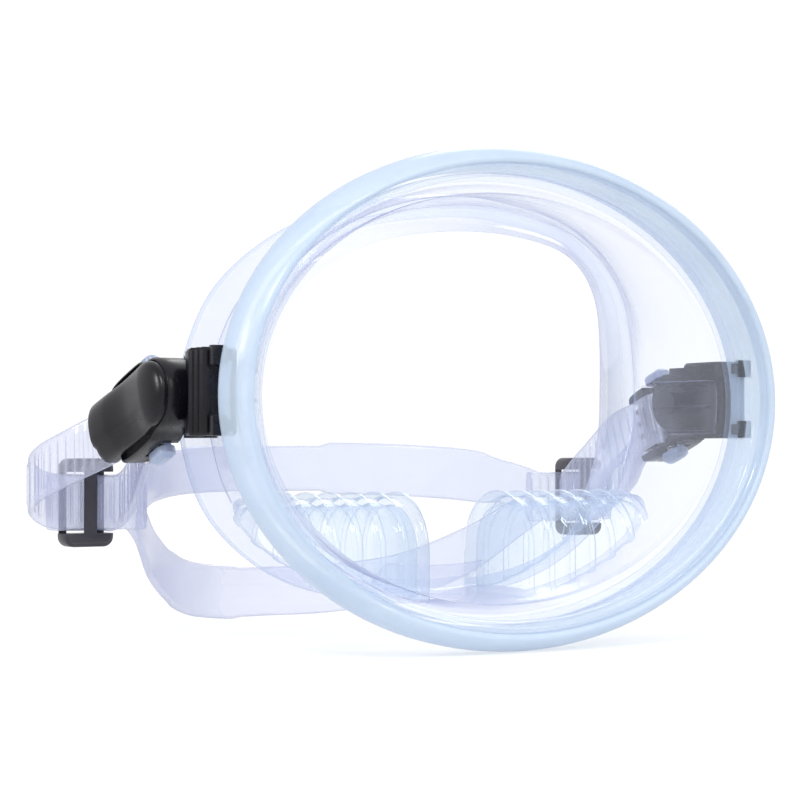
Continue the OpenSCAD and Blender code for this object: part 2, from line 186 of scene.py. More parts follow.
def chaikin(points, passes=2, closed=True):
    """Cuts the corners of an outline, so that it runs smoothly inside them."""
    p = np.asarray(points, float)
    for _ in range(passes):
        following = np.roll(p, -1, axis=0) if closed else p[1:]
        leading = p if closed else p[:-1]
        cut = np.empty((2 * len(leading), p.shape[1]))
        cut[0::2] = 0.75 * leading + 0.25 * following
        cut[1::2] = 0.25 * leading + 0.75 * following
        p = cut if closed else np.vstack([p[:1], cut, p[-1:]])
    return p


def along(points, t):
    """Points of a smooth curve through points, at each t from 0 to len(points) - 1."""
    p = np.asarray(points, float)
    t = np.atleast_1d(t)
    i = np.minimum(t.astype(int), len(p) - 2)
    u = (t - i)[:, None]
    a, b, c, d = (p[np.clip(i + k, 0, len(p) - 1)] for k in (-1, 0, 1, 2))
    return 0.5 * (2 * b + (c - a) * u + (2 * a - 5 * b + 4 * c - d) * u ** 2
                  + (3 * b - a - 3 * c + d) * u ** 3)


def smoothstep(low, high, x):
    t = np.clip((x - low) / (high - low), 0, 1)
    return t * t * (3 - 2 * t)


def arc(centre, radius, start, end, count):
    """Points (a, n) on an arc, with angles in degrees from the a axis."""
    turns = np.radians(np.linspace(start, end, count))
    return np.column_stack([centre[0] + radius * np.cos(turns), centre[1] + radius * np.sin(turns)])


def inset(outline, distance):
    """An outline that runs anticlockwise, drawn in by a distance along its corners' normals."""
    p = np.asarray(outline, float)
    ahead = np.roll(p, -1, axis=0) - p
    ahead /= np.linalg.norm(ahead, axis=1)[:, None]
    behind = np.roll(ahead, 1, axis=0)
    normal = np.column_stack([-(ahead + behind)[:, 1], (ahead + behind)[:, 0]])
    normal /= np.linalg.norm(normal, axis=1)[:, None]
    straight = np.clip((normal * np.column_stack([-ahead[:, 1], ahead[:, 0]])).sum(1), 0.5, 1)
    return p + normal * (distance / straight)[:, None]


# ---- Meshes ----

def grid_faces(rows, columns, rows_close, columns_close):
    """Quads of a grid of points, closed round in either direction."""
    return [
        (i * columns + j, i * columns + (j + 1) % columns,
         ((i + 1) % rows) * columns + (j + 1) % columns, ((i + 1) % rows) * columns + j)
        for i in range(rows if rows_close else rows - 1)
        for j in range(columns if columns_close else columns - 1)
    ]


def to_frame(points):
    """Points in millimetres from the lens centre as points of the frame, in metres."""
    return np.asarray(points, float) * MM + LENS


def buckle_points(points):
    """Points (x, a, n) in buckle axes as points from the lens centre."""
    x, a, n = np.asarray(points, float).T
    return np.column_stack([
        x, PIVOT[1] + a * math.cos(SLOPE) + n * math.sin(SLOPE),
        PIVOT[2] - a * math.sin(SLOPE) + n * math.cos(SLOPE)])


def mask_points(points):
    """Points (x, y, z) from the lens centre, kept as they are."""
    return np.asarray(points, float)


def solid(name, points, faces, side=1):
    """A closed mesh from points in millimetres, mirrored to the left for side -1."""
    points = np.array(points, float)
    points[:, 0] *= side
    mesh = bpy.data.meshes.new(name)
    mesh.from_pydata(to_frame(points).tolist(), [], [list(face) for face in faces])
    obj = bpy.data.objects.new(name, mesh)
    bpy.context.scene.collection.objects.link(obj)
    face_out(mesh)
    return obj


def face_out(mesh):
    """Turns every face of a closed mesh outward."""
    work = bmesh.new()
    work.from_mesh(mesh)
    bmesh.ops.recalc_face_normals(work, faces=work.faces)
    work.to_mesh(mesh)
    work.free()


def apply_modifiers(obj):
    """Makes what an object's modifiers do to its mesh final."""
    shape = obj.evaluated_get(bpy.context.evaluated_depsgraph_get())
    mesh = bpy.data.meshes.new_from_object(shape)
    obj.modifiers.clear()
    obj.data = mesh
    return obj


def combine(obj, operation, *tools):
    """Cuts tools from obj or joins them to it, and removes them."""
    for tool in tools:
        step = obj.modifiers.new(operation.lower(), "BOOLEAN")
        step.operation = operation
        step.solver = "EXACT"
        step.object = tool
        apply_modifiers(obj)
        bpy.data.objects.remove(tool)
        if not obj.data.polygons:
            raise RuntimeError(f"nothing is left of {obj.name} after {operation.lower()}")
    return obj


def soften(obj, width, segments=2, angle=32):
    """Rounds the edges that turn more than an angle, in degrees."""
    step = obj.modifiers.new("edges", "BEVEL")
    step.width = width * MM
    step.segments = segments
    step.limit_method = "ANGLE"
    step.angle_limit = math.radians(angle)
    step.use_clamp_overlap = True
    return apply_modifiers(obj)


def loop(name, sections, side=1):
    """A closed loop of closed sections, each an array of points."""
    points = np.vstack(sections)
    return solid(name, points, grid_faces(len(sections), len(sections[0]), True, True), side)


def tube(name, sections, side=1):
    """A run of closed sections with a flat cap at each end."""
    count = len(sections[0])
    faces = grid_faces(len(sections), count, False, True)
    last = (len(sections) - 1) * count
    faces += [tuple(range(count - 1, -1, -1)), tuple(range(last, last + count))]
    return solid(name, np.vstack(sections), faces, side)


def stack(name, levels, side=1, place=buckle_points):
    """A closed solid through outlines (a, n) at levels x, listed as (outline, x)."""
    return tube(name, [place(np.column_stack([np.full(len(edge), x), edge])) for edge, x in levels],
                side)


def box(name, low, high, side, place=mask_points):
    """A closed box, used whole or as a cutting tool."""
    low, high = np.array(low, float), np.array(high, float)
    outline = [(low[1], low[2]), (high[1], low[2]), (high[1], high[2]), (low[1], high[2])]
    return stack(name, [(outline, low[0]), (outline, high[0])], side, place)


def disc(name, centre, radius, start, end, side, count=64):
    """A cylinder along x about (y, z) = centre, in mask axes."""
    outline = arc(centre, radius, 0, 360 - 360 / count, count)
    return stack(name, [(outline, start), (outline, end)], side, mask_points)


def dress(mesh, finish):
    """Gives a mesh one material in place of those it has."""
    mesh.materials.clear()
    mesh.materials.append(finish)


def finish_piece(obj, finish, body, slot, *nodes, crease=38):
    """Shades a piece, gives it its material and body, and hides the nodes it stands for; slot is not
    used.
    """
    mesh = obj.data
    if finish:
        dress(mesh, finish)
    mesh.shade_smooth()
    mesh.set_sharp_from_angle(angle=math.radians(crease))
    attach(obj, body)
    if nodes:
        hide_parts(*nodes)
    return obj


# ---- Materials ----

class Recipe:
    """A material's node tree, with short calls for the nodes that it is made of."""

    def __init__(self, name):
        self.material = bpy.data.materials.new(f"mask_{name}")
        self.material.use_nodes = True
        self.tree = self.material.node_tree
        self.tree.nodes.clear()
        self.output = self.tree.nodes.new("ShaderNodeOutputMaterial")
        self.place = self.tree.nodes.new("ShaderNodeTexCoord").outputs["Object"]

    def node(self, kind, inputs=None, **settings):
        """A new node, with its inputs by name or number, and its settings."""
        made = self.tree.nodes.new(kind)
        for name, value in settings.items():
            setattr(made, name, value)
        for name, value in (inputs or {}).items():
            self.set(made.inputs[name], value)
        return made

    def set(self, socket, value):
        """Links a value that is a node's output, and sets any other."""
        if isinstance(value, bpy.types.NodeSocket):
            self.tree.links.new(value, socket)
        else:
            socket.default_value = value

    def noise(self, scale, detail=4.0, stretch=(1, 1, 1)):
        """Cloudy noise; scale counts its cells to the metre."""
        spread = self.node("ShaderNodeMapping", {"Vector": self.place, "Scale": stretch})
        return self.node("ShaderNodeTexNoise", {
            "Vector": spread.outputs[0], "Scale": scale, "Detail": detail}).outputs["Fac"]

    def ramp(self, value, low, high, start=0.35, end=0.65):
        """Spreads a value between two numbers."""
        return self.node("ShaderNodeMapRange", {
            "Value": value, "From Min": start, "From Max": end,
            "To Min": low, "To Max": high}).outputs["Result"]

    def shades(self, value, dark, light):
        """Mixes two colours by a value."""
        made = self.node("ShaderNodeMix", data_type="RGBA")
        self.set(made.inputs["Factor"], value)
        self.set(made.inputs[6], (*dark, 1))
        self.set(made.inputs[7], (*light, 1))
        return made.outputs[2]

    def bump(self, height, distance, strength=1.0):
        return self.node("ShaderNodeBump", {
            "Height": height, "Distance": distance, "Strength": strength}).outputs["Normal"]

    def math(self, operation, a, b=0.0):
        made = self.node("ShaderNodeMath", operation=operation)
        self.set(made.inputs[0], a)
        self.set(made.inputs[1], b)
        return made.outputs[0]

    def mix(self, share, first, second):
        """Shows the second shader by a share, over the first."""
        made = self.node("ShaderNodeMixShader", {0: share})
        self.tree.links.new(first, made.inputs[1])
        self.tree.links.new(second, made.inputs[2])
        return made.outputs[0]

    def mirror_share(self, strength, normal=None):
        """Share of a polished outer face that mirrors: little face on, and all of it edge on."""
        inputs = {"Blend": 0.5}
        if normal:
            inputs["Normal"] = normal
        facing = self.node("ShaderNodeLayerWeight", inputs).outputs["Facing"]
        share = self.math("ADD", 0.04, self.math("MULTIPLY", self.math("POWER", facing, 5), 0.96))
        inner = self.node("ShaderNodeNewGeometry").outputs["Backfacing"]
        return self.math("MULTIPLY", self.math("MULTIPLY", share, strength),
                         self.math("SUBTRACT", 1.0, inner))

    def show(self, shader):
        """Makes a shader the material's surface."""
        self.tree.links.new(shader, self.output.inputs["Surface"])
        return self.material


def scaled(rgb, share):
    """A colour made darker or lighter."""
    return tuple(min(1.0, c * share) for c in rgb)


def see_through(name, tint, edge_tint_and_painted_shade, face_on, edge_on, clear, roughness, edge_power,
                grain=900.0, gloss=0.9):
    """Clear moulding: a skin that covers more and darkens from face on to edge on, over air
    that tints what is behind it, under a polish. The darker edge colour is a deeper tint with
    painted shade for the dark lines along clear edges."""
    m = Recipe(name)
    cloud = m.noise(70.0)
    normal = m.bump(m.noise(grain, 2.0), 0.00006, 0.35)
    facing = m.node("ShaderNodeLayerWeight", {"Blend": 0.5, "Normal": normal}).outputs["Facing"]
    curve = m.math("POWER", facing, edge_power)
    # Base colour runs from the tint face on to the edge colour edge on: a deeper tint through more
    # silicone, with painted shade for the dark lines along the edges
    skin = m.node("ShaderNodeBsdfPrincipled", {
        "Base Color": m.shades(m.math("MULTIPLY", curve, m.ramp(cloud, 0.9, 1.1)), tint, edge_tint_and_painted_shade),
        "Roughness": m.ramp(m.noise(260.0), 0.5, 0.6), "Specular IOR Level": 0.1,
        "Normal": normal})
    air = m.node("ShaderNodeBsdfTransparent", {"Color": (*clear, 1)})
    share = m.ramp(curve, face_on, edge_on, 0.0, 1.0)
    share = m.math("MULTIPLY", share, m.ramp(cloud, 0.92, 1.08))
    body = m.mix(share, air.outputs[0], skin.outputs[0])
    polish = m.node("ShaderNodeBsdfGlossy", {
        "Color": (1, 1, 1, 1), "Normal": normal,
        "Roughness": m.ramp(m.noise(260.0), roughness * 0.8, roughness * 1.25)})
    return m.show(m.mix(m.mirror_share(gloss, normal), body, polish.outputs[0]))


def moulded(name, rgb, roughness, coat=0.0, grain=2600.0, scatter=0.0, shine=0.35):
    """Satin moulded plastic with a fine spark-eroded grain and rubbed, paler patches."""
    m = Recipe(name)
    cloud = m.noise(120.0, 5.0)
    streak = m.noise(240.0, 3.0, (1, 0.15, 1))
    height = m.math("ADD", m.noise(grain, 2.0), m.math("MULTIPLY", streak, 0.6))
    skin = m.node("ShaderNodeBsdfPrincipled", {
        "Base Color": m.shades(m.ramp(cloud, 0, 1), scaled(rgb, 0.8), scaled(rgb, 1.25)),
        "Roughness": m.ramp(streak, roughness * 0.85, roughness * 1.2),
        "Coat Weight": coat, "Coat Roughness": 0.25, "Specular IOR Level": shine,
        "Subsurface Weight": scatter, "Subsurface Scale": 0.002,
        "Normal": m.bump(height, 0.00001, 0.25)})
    return m.show(skin.outputs[0])


def steel():
    """Stainless steel, drawn along one way."""
    m = Recipe("stainless_steel")
    drawn = m.noise(900.0, 3.0, (1, 8, 8))
    skin = m.node("ShaderNodeBsdfPrincipled", {
        "Base Color": m.shades(m.ramp(drawn, 0, 1), (0.50, 0.51, 0.53), (0.70, 0.71, 0.72)),
        "Metallic": 1.0, "Roughness": m.ramp(drawn, 0.22, 0.40),
        "Normal": m.bump(drawn, 0.00003, 0.4)})
    return m.show(skin.outputs[0])


def lens_glass():
    """Tempered glass: clear, a little blue, and mirroring more where it is seen edge on."""
    m = Recipe("tempered_glass")
    smear = m.noise(28.0, 3.0)
    air = m.node("ShaderNodeBsdfTransparent", {"Color": (0.985, 0.993, 1.0, 1)})
    mirror = m.node("ShaderNodeBsdfGlossy", {
        "Color": (1, 1, 1, 1), "Roughness": m.ramp(smear, 0.015, 0.05)})
    return m.show(m.mix(m.mirror_share(0.9), air.outputs[0], mirror.outputs[0]))


def studio_paper():
    """Matt paper that fades out round the mask, so that no edge or horizon is seen."""
    m = Recipe("studio_paper")
    rgb = tuple(colours().backdrop)
    fibre = m.noise(30.0, 6.0)
    skin = m.node("ShaderNodeBsdfDiffuse", {
        "Color": m.shades(m.ramp(fibre, 0, 1), scaled(rgb, 0.995), scaled(rgb, 1.005))})
    flat = m.node("ShaderNodeVectorMath", {0: m.place, 1: (1, 1, 0)}, operation="MULTIPLY")
    reach = m.node("ShaderNodeVectorMath", {0: flat.outputs[0]}, operation="LENGTH")
    air = m.node("ShaderNodeBsdfTransparent")
    share = m.ramp(reach.outputs["Value"], 0.55, 0.0, 0.08, 0.34)
    return m.show(m.mix(share, air.outputs[0], skin.outputs[0]))


def material(name):
    """A material by its name, made the first time that it is asked for."""
    if f"mask_{name}" in bpy.data.materials:
        return bpy.data.materials[f"mask_{name}"]
    c = colours()
    # The edge colours below are deeper tints with painted shade, for the dark lines along the clear
    # edges
    clear = {
        "ring_plastic": dict(
            tint=tuple(c.ring), edge_tint_and_painted_shade=(0.42, 0.52, 0.68), face_on=0.60, edge_on=0.90,
            clear=(0.925, 0.955, 0.985), roughness=0.20, edge_power=1.5, grain=500.0, gloss=0.6),
        "inner_ring_plastic": dict(
            tint=(0.87, 0.92, 0.985), edge_tint_and_painted_shade=(0.60, 0.70, 0.85), face_on=0.04, edge_on=0.40,
            clear=(0.975, 0.986, 0.996), roughness=0.10, edge_power=2.2),
        "skirt_silicone": dict(
            tint=tuple(c.silicone), edge_tint_and_painted_shade=(0.30, 0.33, 0.56), face_on=0.035, edge_on=0.96,
            clear=(0.978, 0.982, 0.996), roughness=0.12, edge_power=2.9),
        "rim_silicone": dict(
            tint=(0.60, 0.69, 0.88), edge_tint_and_painted_shade=(0.36, 0.42, 0.66), face_on=0.22, edge_on=0.94,
            clear=(0.945, 0.960, 0.995), roughness=0.12, edge_power=2.2),
        "pocket_silicone": dict(
            tint=tuple(c.pocket), edge_tint_and_painted_shade=(0.26, 0.36, 0.56), face_on=0.045, edge_on=0.92,
            clear=(0.965, 0.980, 0.995), roughness=0.04, edge_power=2.3, gloss=1.0),
        "strap_silicone": dict(
            tint=tuple(c.strap), edge_tint_and_painted_shade=(0.30, 0.32, 0.48), face_on=0.22, edge_on=0.92,
            clear=(0.940, 0.950, 0.985), roughness=0.14, edge_power=1.6),
    }
    opaque = {
        "buckle_plastic": dict(rgb=tuple(c.buckle), roughness=0.26, shine=0.3),
        "keeper_plastic": dict(rgb=tuple(c.keeper), roughness=0.36, shine=0.4),
        "button_plastic": dict(
            rgb=tuple(c.button), roughness=0.30, coat=0.3, grain=1500.0, scatter=0.25),
    }
    if name in clear:
        return see_through(name, **clear[name])
    if name in opaque:
        return moulded(name, **opaque[name])
    return {"tempered_glass": lens_glass, "stainless_steel": steel,
            "studio_paper": studio_paper}[name]()


# ---- Lens and rings ----

def oval_sections(profile, stations):
    """Sections round an oval. A profile point is (half width, half height, depth, fullness):
    fullness 2 is an ellipse, and more is squarer. profile may be a function of the angle."""
    sections = []
    for turn in np.arange(stations) * 2 * math.pi / stations:
        p = np.asarray(profile(turn) if callable(profile) else profile, float)
        c, s = math.cos(turn), math.sin(turn)
        power = 2 / p[:, 3]
        sections.append(np.column_stack([
            p[:, 0] * math.copysign(1, c) * abs(c) ** power, p[:, 2],
            p[:, 1] * math.copysign(1, s) * abs(s) ** power]))
    return sections


# Faces of a section, by their place in it, that take a piece's second material
RING_INSIDE = range(33, 72)
SKIRT_RIM = range(20, 30)


def tint_faces(obj, count, chosen, *names):
    """Gives a loop's faces its first material, and the chosen ones its second."""
    for name in names:
        obj.data.materials.append(material(name))
    for face in obj.data.polygons:
        face.material_index = int(face.index % count in chosen)


def inward(profile):
    """Profile points given inward from the ring's outer edge, as (inward, depth)."""
    p = np.asarray(profile, float)
    return np.column_stack([RING_A - p[:, 0], RING_B - p[:, 0], p[:, 1], np.full(len(p), 2.0)])


def build_lens():
    """A flat oval glass with ground edges."""
    rim, chamfer = 6.1, 0.4
    flat = rim + 10
    levels = [(flat, 0), (rim + chamfer, 0), (rim, chamfer), (rim, LENS_T - chamfer),
              (rim + chamfer, LENS_T), (flat, LENS_T)]
    turns = np.arange(sizes().stations) * 2 * math.pi / sizes().stations
    glass = tube("lens_glass", [
        np.column_stack([(RING_A - drawn_in) * np.cos(turns), np.full(len(turns), float(depth)),
                         (RING_B - drawn_in) * np.sin(turns)])
        for drawn_in, depth in levels])
    finish_piece(glass, material("tempered_glass"), "mask", "glass", "lens", crease=20)


def build_rings():
    """The outer ring that clamps the lens, and the retaining ring inside its front."""
    outer = chaikin([
        (0, 2.4), (0, 0.4), (0.2, -1.2), (0.9, -3.2), (2.0, -4.9), (3.2, -6), (4.0, -6),
        (4.5, -5.5), (4.5, -4.6), (4.5, -0.1), (4.5, -0.1), (6, -0.1), (6, -0.1), (6, 7), (6, 7),
        (7.8, 7), (7.8, 7), (7.8, 8), (6.6, 8.4), (3.8, 8.4), (2.2, 7.2), (0.9, 5.2), (0.2, 3.6)], 2)
    ring = loop("ring_shell", oval_sections(inward(outer), sizes().stations))
    tint_faces(ring, len(outer), RING_INSIDE, "ring_plastic", "inner_ring_plastic")
    finish_piece(ring, None, "mask", "ring_plastic", "lens_ring", crease=60)
    inner = chaikin([
        (4.6, -0.1), (4.6, -0.1), (4.6, -3.2), (4.6, -4.9), (5.2, -5.3), (5.9, -4.6),
        (6.1, -3.9), (6.4, -3.9), (7.2, -3.4), (7.5, -2.2), (7.5, -0.1), (7.5, -0.1)], 2)
    ring = loop("retaining_ring_shell", oval_sections(inward(inner), sizes().stations))
    finish_piece(ring, material("inner_ring_plastic"), "mask", "inner_ring_plastic",
                 "retaining_ring", crease=60)


# ---- Skirt and finger pockets ----

def rear_depth(turn):
    """Depth of the skirt's rear rim: deep at the temples, shallow at the forehead."""
    up, down = max(0, math.sin(turn)), max(0, -math.sin(turn))
    return 45 - 18 * up ** 1.6 + 2 * down ** 2


def skirt_section(turn):
    """Bead, wall, flared rim and face lip of the skirt at one angle."""
    r, t = rear_depth(turn), sizes().skirt_wall
    full = 2.0 + 0.35 * smoothstep(0.2, 0.9, abs(math.sin(2 * turn)))
    lip = full + 0.25
    p = [
        (RING_A - 6.1, RING_B - 6.1, 4.05, 2), (RING_A - 6.1, RING_B - 6.1, 4.05, 2),
        (RING_A - 6.1, RING_B - 6.1, 6.95, 2), (RING_A - 8.3, RING_B - 8.3, 6.95, 2),
        (RING_A - 9.2, RING_B - 8.6, 8.6, 2), (RING_A - 10.6, RING_B - 9.4, 11, 2),
        (67.0, 50.3, r * 0.36 + 2, 2), (66.4, 50.0, r * 0.55, 2), (66.6, 50.2, r - 9, 2),
        (67.0, 50.4, r - 6, full - 0.1), (68.6, 51.2, r - 2.6, full - 0.1),
        (69.6, 51.8, r - 0.8, full - 0.1), (69.2, 51.4, r, full - 0.1),
        (67.4, 50.4, r - 0.1, full - 0.1), (64.6, 49.0, r - 1.0, full),
        (59.0, 46.0, r - 3.6, full), (54.5, 43.6, r - 6.6, lip), (51.4, 41.9, r - 9.2, lip),
        (50.6, 41.3, r - 10.3, lip), (51.4, 41.7, r - 10.2, lip), (54.2, 43.2, r - 8.6, lip),
        (58.0, 45.0, r - 6.6, full), (62.6, 47.2, r - 5.4, full - 0.1),
        (67.0 - t, 50.2 - t, r - 7.2, full - 0.1), (66.4 - t, 50.0 - t, r - 11, 2),
        (66.4 - t, 50.0 - t, r * 0.55, 2), (67.0 - t, 50.3 - t, r * 0.36 + 1.6, 2),
        (RING_A - 10.6 - t, RING_B - 9.4 - t, 10.4, 2),
        (RING_A - 9.6 - t, RING_B - 8.8 - t, 7.4, 2), (RING_A - 9.5 - t, RING_B - 8.8 - t, 4.05, 2),
        (RING_A - 9.5 - t, RING_B - 8.8 - t, 4.05, 2),
    ]
    return chaikin(p, 1)


PAD_Z = -1.1                        # middle of a temple pad
TEMPLE_RIBS = (5.4, PAD_Z, -7.6)    # heights of the thin ribs on a pad


def raise_temple_pads(points):
    """Pushes the outer wall out behind each bracket, to a pad that narrows to the rear."""
    x, y, z = points.T
    length = smoothstep(9.0, 11.0, y) * (1 - smoothstep(36.0, 42.0, y))
    half = 7.0 - 1.0 * smoothstep(24.0, 40.0, y)
    pad = length * (1 - smoothstep(half - 0.6, half, np.abs(z - PAD_Z)))
    wall = (np.abs(x) > 65.2) & (np.abs(z) < 12)
    points[:, 0] += np.sign(x) * np.where(wall, pad * sizes().pad_rise, 0)
    return points


def arch(name, stations, side):
    """Closed arch swept along x, open to well below the skirt; a station is (x, half width)."""
    crown = POCKET_TOP - POCKET_R
    turns = np.linspace(0, math.pi, 48)
    sections = []
    for x, half in stations:
        curve = [(x, POCKET_MID + half * math.cos(t), crown + half * math.sin(t)) for t in turns]
        sections.append(np.array(
            [(x, POCKET_MID + half, -80), *curve, (x, POCKET_MID - half, -80)]))
    return tube(name, sections, side)


def build_skirt():
    """The clear silicone skirt, open where the finger pockets join it."""
    sections = oval_sections(skirt_section, sizes().stations)
    sections = [raise_temple_pads(s) for s in sections]
    skirt = loop("skirt_moulding", sections)
    # The rolled rear rim is thicker, so it has a deeper tint
    tint_faces(skirt, len(sections[0]), SKIRT_RIM, "skirt_silicone", "rim_silicone")
    combine(skirt, "DIFFERENCE",
            *(arch("tool", [(POCKET_GAP + 0.6, POCKET_R - 0.6), (POCKET_END - 1, POCKET_R - 0.6)],
                   k) for k in SIDES.values()))
    combine(skirt, "UNION", *(
        box("tool", (65.7, 9.5, z - 0.4), (69.2, 39.0 - abs(z - PAD_Z), z + 0.4), k)
        for k in SIDES.values() for z in TEMPLE_RIBS))
    finish_piece(skirt, None, "mask", "silicone", "skirt", "face_seal", crease=50)


def rib_height(x):
    """Rounded ribs, the first one round the end wall."""
    phase = ((x - POCKET_GAP - 1.3) / RIB_PITCH + 0.5) % 1 - 0.5
    bump = np.clip(1 - (phase * RIB_PITCH / 1.5) ** 2, 0, 1) ** 0.5
    fade = 1 - smoothstep(POCKET_END - 7, POCKET_END - 1, x)
    return sizes().pocket_rib * bump * fade


def build_finger_pockets():
    """Two ribbed hollows, open below, that let the fingers reach the nose."""
    wall = sizes().skirt_wall
    run = np.arange(POCKET_GAP + 1, POCKET_END + 2, 0.35)
    turns = np.radians(np.arange(0, 360, 1.5))
    oval = np.column_stack([66.6 * np.cos(turns), 50.4 * np.sin(turns)])
    for word, k in SIDES.items():
        outer = [(POCKET_GAP, POCKET_R - 0.5), (POCKET_GAP + 0.25, POCKET_R)]
        outer += [(x, POCKET_R + rib_height(x)) for x in run]
        shoulder = POCKET_GAP + wall + 0.3
        inner = [(POCKET_GAP + wall, POCKET_R - wall - 0.6), (shoulder, POCKET_R - wall)]
        inner += [(x, POCKET_R - wall + 0.5 * rib_height(x)) for x in run if x > shoulder + 0.1]
        inner.append((POCKET_END + 6, POCKET_R - wall))
        pocket = arch(f"finger_pocket_{word}_moulding", outer, k)
        combine(pocket, "DIFFERENCE", arch("tool", inner, k))
        combine(pocket, "INTERSECT", stack("tool", [(oval, 10), (oval, 49)], k,
                                           lambda p: p[:, [1, 0, 2]]))
        finish_piece(pocket, material("pocket_silicone"), "mask", "pocket_silicone",
                     f"finger_pocket_{word}", crease=50)


# ---- Brackets ----

FLUTES = (10.7, 13.4, 16.1)     # depths of the flutes on a bracket's outer face
HOOKS = (-6.9, 8.9)             # heights of a bracket's snap hooks


def build_brackets():
    """Bracket: fluted block behind the ring, pivot plate, two snap hooks and the pin."""
    # Plan of the block, from above: flutes on its outer face, flared to the rear
    flutes = [point for y in FLUTES for point in (
        (77.9, y - 1.3), (79.4, y - 0.8), (79.9, y), (79.4, y + 0.8))]
    plan = [(70.5, 10.6), (74.6, 9.3), *flutes, (77.9, 17.4), (77.9, 18.2), (78.6, 18.6),
            (78.2, 21.0), (77.0, 23.8), (74.0, 23.8), (70.5, 23.8)]
    levels = [(-9.2, 0.5), (-8.5, 0.0), (10.1, 0.0), (10.8, 0.5)]
    sections = [np.column_stack([inset(plan, drawn_in), np.full(len(plan), z)])
                for z, drawn_in in levels]
    for word, k in SIDES.items():
        block = tube(f"bracket_{word}_moulding", sections, k)
        centre = (PIVOT[1], PIVOT[2])
        combine(block, "DIFFERENCE", disc("tool", centre, RECESS_R, PLATE_OUT, 90, k))
        combine(block, "UNION",
                box("tool", (PLATE_IN, 20, -9.6), (PLATE_OUT, PIVOT[1], 9.6), k),
                disc("tool", centre, 7.4, PLATE_IN + 0.02, PLATE_OUT - 0.02, k))
        for z in HOOKS:
            neck = box("tool", (73.6, 6.6, z - 1.3), (77.4, 11.2, z + 1.3), k)
            head = box("tool", (75.2, 6.4, z - 2.2), (78.6, 8.4, z + 2.2), k)
            combine(block, "UNION", neck, head)
        soften(block, sizes().edge)
        finish_piece(block, material("buckle_plastic"), "mask", "buckle_plastic",
                     f"bracket_{word}")
        dress(frame["nodes"][f"pivot_pin_{word}"].data, material("buckle_plastic"))


# ---- Buckles ----

def buckle_edge(end, half, drawn_in=0.0):
    """Outline of a buckle seen from outside, anticlockwise, drawn in by a distance."""
    corners = np.vstack([
        arc((0, 0), DISC_R, 100, 260, 17),
        [(1.2, -DISC_R - 0.1), (3.2, -half + 0.6), (5.0, -half), (end - 2.2, -half),
         (end, -half + 1.6), (end, half - 1.6), (end - 2.2, half), (5.0, half),
         (3.2, half - 0.6), (1.2, DISC_R + 0.1)]])
    outline = chaikin(corners, 2)
    return inset(outline, drawn_in) if drawn_in else outline


def thumb_section(a):
    """Section (n, x) of the thumb rest at a: domed over the pivot, higher at the rear."""
    if a < 0:
        share = math.sqrt(max(0.0, 1 - (a / THUMB_FRONT) ** 2))
        half, rise = THUMB_HALF * share, 3.0 * share
    else:
        half = THUMB_HALF - 0.25 * smoothstep(THUMB_END - 1.2, THUMB_END, a)
        rise = 3.0 - 0.5 * math.sin(math.pi * min(1, a / 18)) + 2.1 * smoothstep(
            8.0, THUMB_END, a)
    rise -= 0.9 * smoothstep(THUMB_END - 1.6, THUMB_END, a)
    section = []
    for t in np.linspace(0, math.pi, 25):
        c, s = math.cos(t), math.sin(t)
        across = half * math.copysign(abs(c) ** 0.85, c)
        # The lower flank is cut by a long facet, which leaves a ridge along it
        up = rise * s ** 0.8
        flank = float(smoothstep(0.42, 0.50, -across / max(half, 0.1)))
        if a > 0:
            up -= 0.75 * smoothstep(0, 6, a) * flank * s ** 0.3
        section.append((across, ROOF_OUT - 0.1 + up))
    return section


def build_cover(word, k):
    """Cover: base plate with a groove round the domed thumb rest."""
    steps = [(0.0, FRAME_OUT), (0.0, ROOF_OUT - 1.2), (0.25, ROOF_OUT - 0.7),
             (0.6, ROOF_OUT - 0.6), (0.85, ROOF_OUT - 1.3), (1.1, ROOF_OUT - 1.4)]
    cover = stack(f"buckle_cover_{word}_moulding",
                  [(buckle_edge(FRAME_END, CHEEK_OUT, d), x) for d, x in steps], k)
    rows = np.concatenate([THUMB_FRONT * np.cos(np.linspace(0.06, math.pi / 2, 18)),
                           np.linspace(0.6, THUMB_END - 1.4, 26),
                           [THUMB_END - 1.0, THUMB_END - 0.5, THUMB_END - 0.15, THUMB_END]])
    sections = []
    for a in rows:
        top = thumb_section(a)
        low = [(n, ROOF_IN + 0.05) for n, _ in (top[-1], top[0])]
        ring = [(x, a, n) for n, x in top + low]
        sections.append(buckle_points(ring))
    thumb = tube("thumb_tool", sections, k)
    combine(cover, "UNION", thumb)
    slot = box("slot_tool", (FRAME_OUT - 1, SLOT_FROM, -CHEEK_IN), (ROOF_IN, 40, CHEEK_IN),
               k, buckle_points)
    combine(cover, "DIFFERENCE", slot)
    finish_piece(cover, material("buckle_plastic"), f"{word}_buckle", "buckle_plastic",
                 f"buckle_cover_{word}", crease=28)


